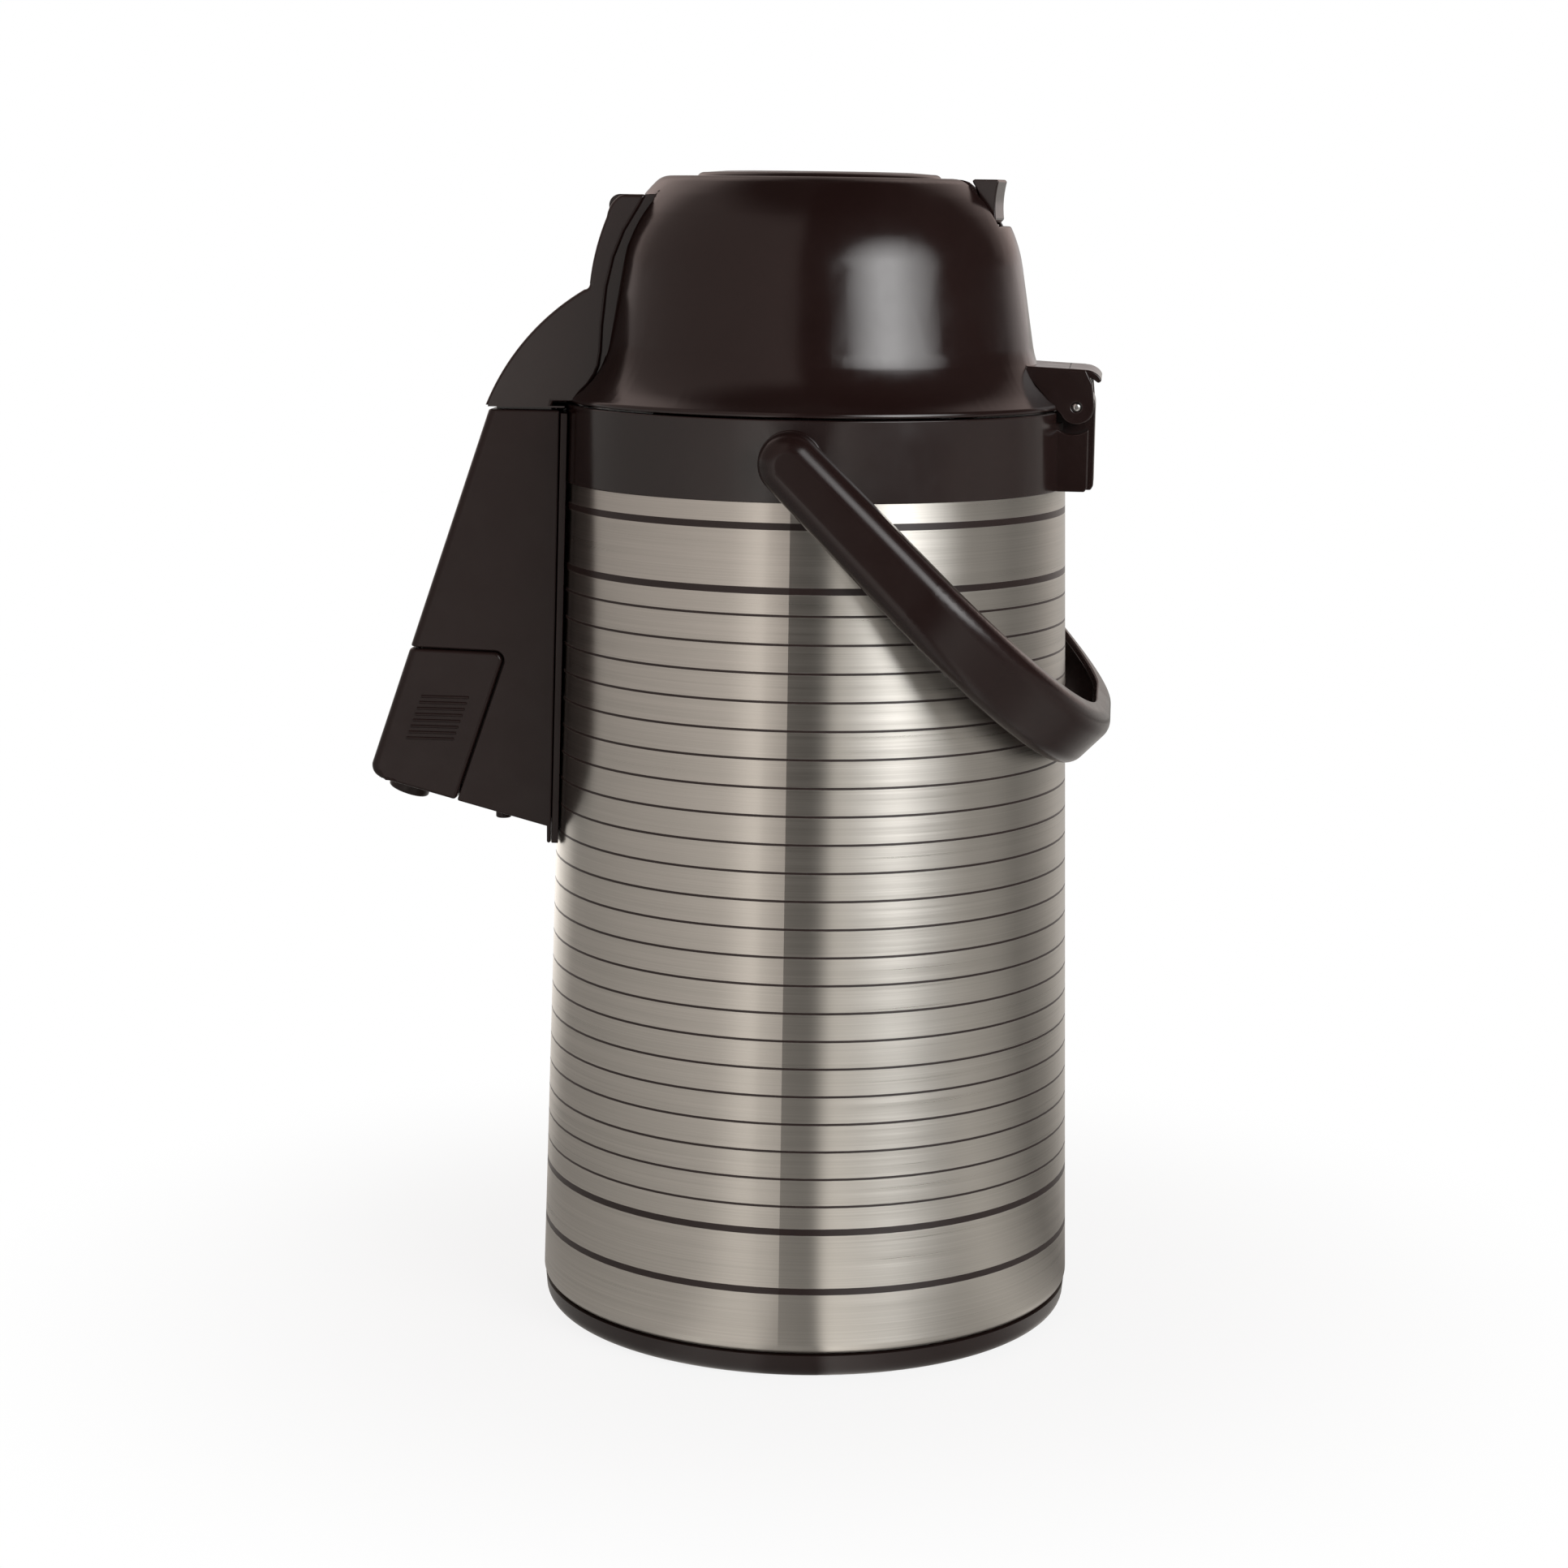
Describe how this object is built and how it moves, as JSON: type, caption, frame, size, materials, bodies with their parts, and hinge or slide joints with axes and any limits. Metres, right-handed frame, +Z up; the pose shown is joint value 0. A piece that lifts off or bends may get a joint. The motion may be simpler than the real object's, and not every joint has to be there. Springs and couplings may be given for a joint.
{
  "type": "pump pot",
  "caption": "Tapered steel vacuum pump pot with a glass liner, hinged pump lid, pouring spout with pull-off nozzle cover, and swinging bail handle.",
  "frame": {"origin": "on the body's axis in the plane of the foot", "axes": "+Z up, -Y towards the spout, +Y towards the lid hinge, X along the handle and hinge pivots"},
  "size_m": [0.1806, 0.2353, 0.3663],
  "materials": {
    "brown_plastic": "glossy dark brown moulding",
    "satin_plastic": "satin dark brown moulding",
    "brushed_steel": "brushed round the body with printed stripes",
    "silvered_glass": "silvered glass",
    "grey_rubber": "moulded rubber",
    "pale_plastic": "natural food plastic",
    "painted_screw": "brown painted steel",
    "pin_steel": "bright steel"
  },
  "bodies": {
    "pot": {"base_ring": "brown_plastic", "body_shell": "brushed_steel", "bottom_cap": "brown_plastic", "collar": "brown_plastic", "dip_tube": "pale_plastic", "dip_tube_foot": "pale_plastic", "elbow_seal": "grey_rubber", "hinge_pin": "pin_steel", "liner_cushion": "grey_rubber", "liner_inner": "silvered_glass", "liner_outer": "silvered_glass", "neck_gasket": "grey_rubber", "nozzle_tip": "satin_plastic", "pipe_elbow": "pale_plastic", "spout_backplate": "satin_plastic", "spout_housing": "satin_plastic", "spout_pipe": "pale_plastic", "spout_screw_1": "painted_screw", "spout_screw_2": "painted_screw"},
    "lid": {"lid_dome": "brown_plastic", "lid_nose": "brown_plastic", "lid_base": "pale_plastic", "lid_gasket": "grey_rubber", "lid_screw_1": "pin_steel", "lid_screw_2": "pin_steel", "lid_screw_3": "pin_steel", "lid_screw_4": "pin_steel", "outlet_valve": "grey_rubber", "bellows": "pale_plastic", "return_spring": "pin_steel", "latch_pin": "pin_steel", "latch_spring": "pin_steel"},
    "pump": {"push_plate": "brown_plastic", "bellows_cap": "pale_plastic", "inlet_valve": "grey_rubber"},
    "lock": {"lock_ring": "brown_plastic"},
    "latch": {"latch_lever": "brown_plastic"},
    "handle": {"handle": "satin_plastic"},
    "nozzle_cover": {"nozzle_cover": "satin_plastic"}
  },
  "joints": [
    {"name": "lid_hinge", "type": "hinge", "parent": "pot", "child": "lid", "pos_m": [0, 0.0826, 0.2955], "axis": [-1, 0, 0], "range_deg": [0, 92]},
    {"name": "pump_press", "type": "slide", "parent": "lid", "child": "pump", "axis": [0, 0, -1], "range_m": [0, 0.017], "stiffness_N_per_m": 400, "springref_m": -0.012, "deforming": ["bellows", "return_spring"]},
    {"name": "lock_turn", "type": "hinge", "parent": "lid", "child": "lock", "pos_m": [0, 0, 0.345], "axis": [0, 0, 1], "range_deg": [0, 22]},
    {"name": "latch_pivot", "type": "hinge", "parent": "lid", "child": "latch", "pos_m": [0, -0.0705, 0.3215], "axis": [1, 0, 0], "range_deg": [0, 8], "stiffness_Nm_per_rad": 0.6, "springref_deg": -11.46},
    {"name": "handle_swing", "type": "hinge", "parent": "pot", "child": "handle", "pos_m": [0, 0, 0.2812], "axis": [1, 0, 0], "range_deg": [0, 212]},
    {"name": "nozzle_cover_slide", "type": "slide", "parent": "pot", "child": "nozzle_cover", "axis": [0, -0.3207, -0.9472], "range_m": [0, 0.06]}
  ]
}
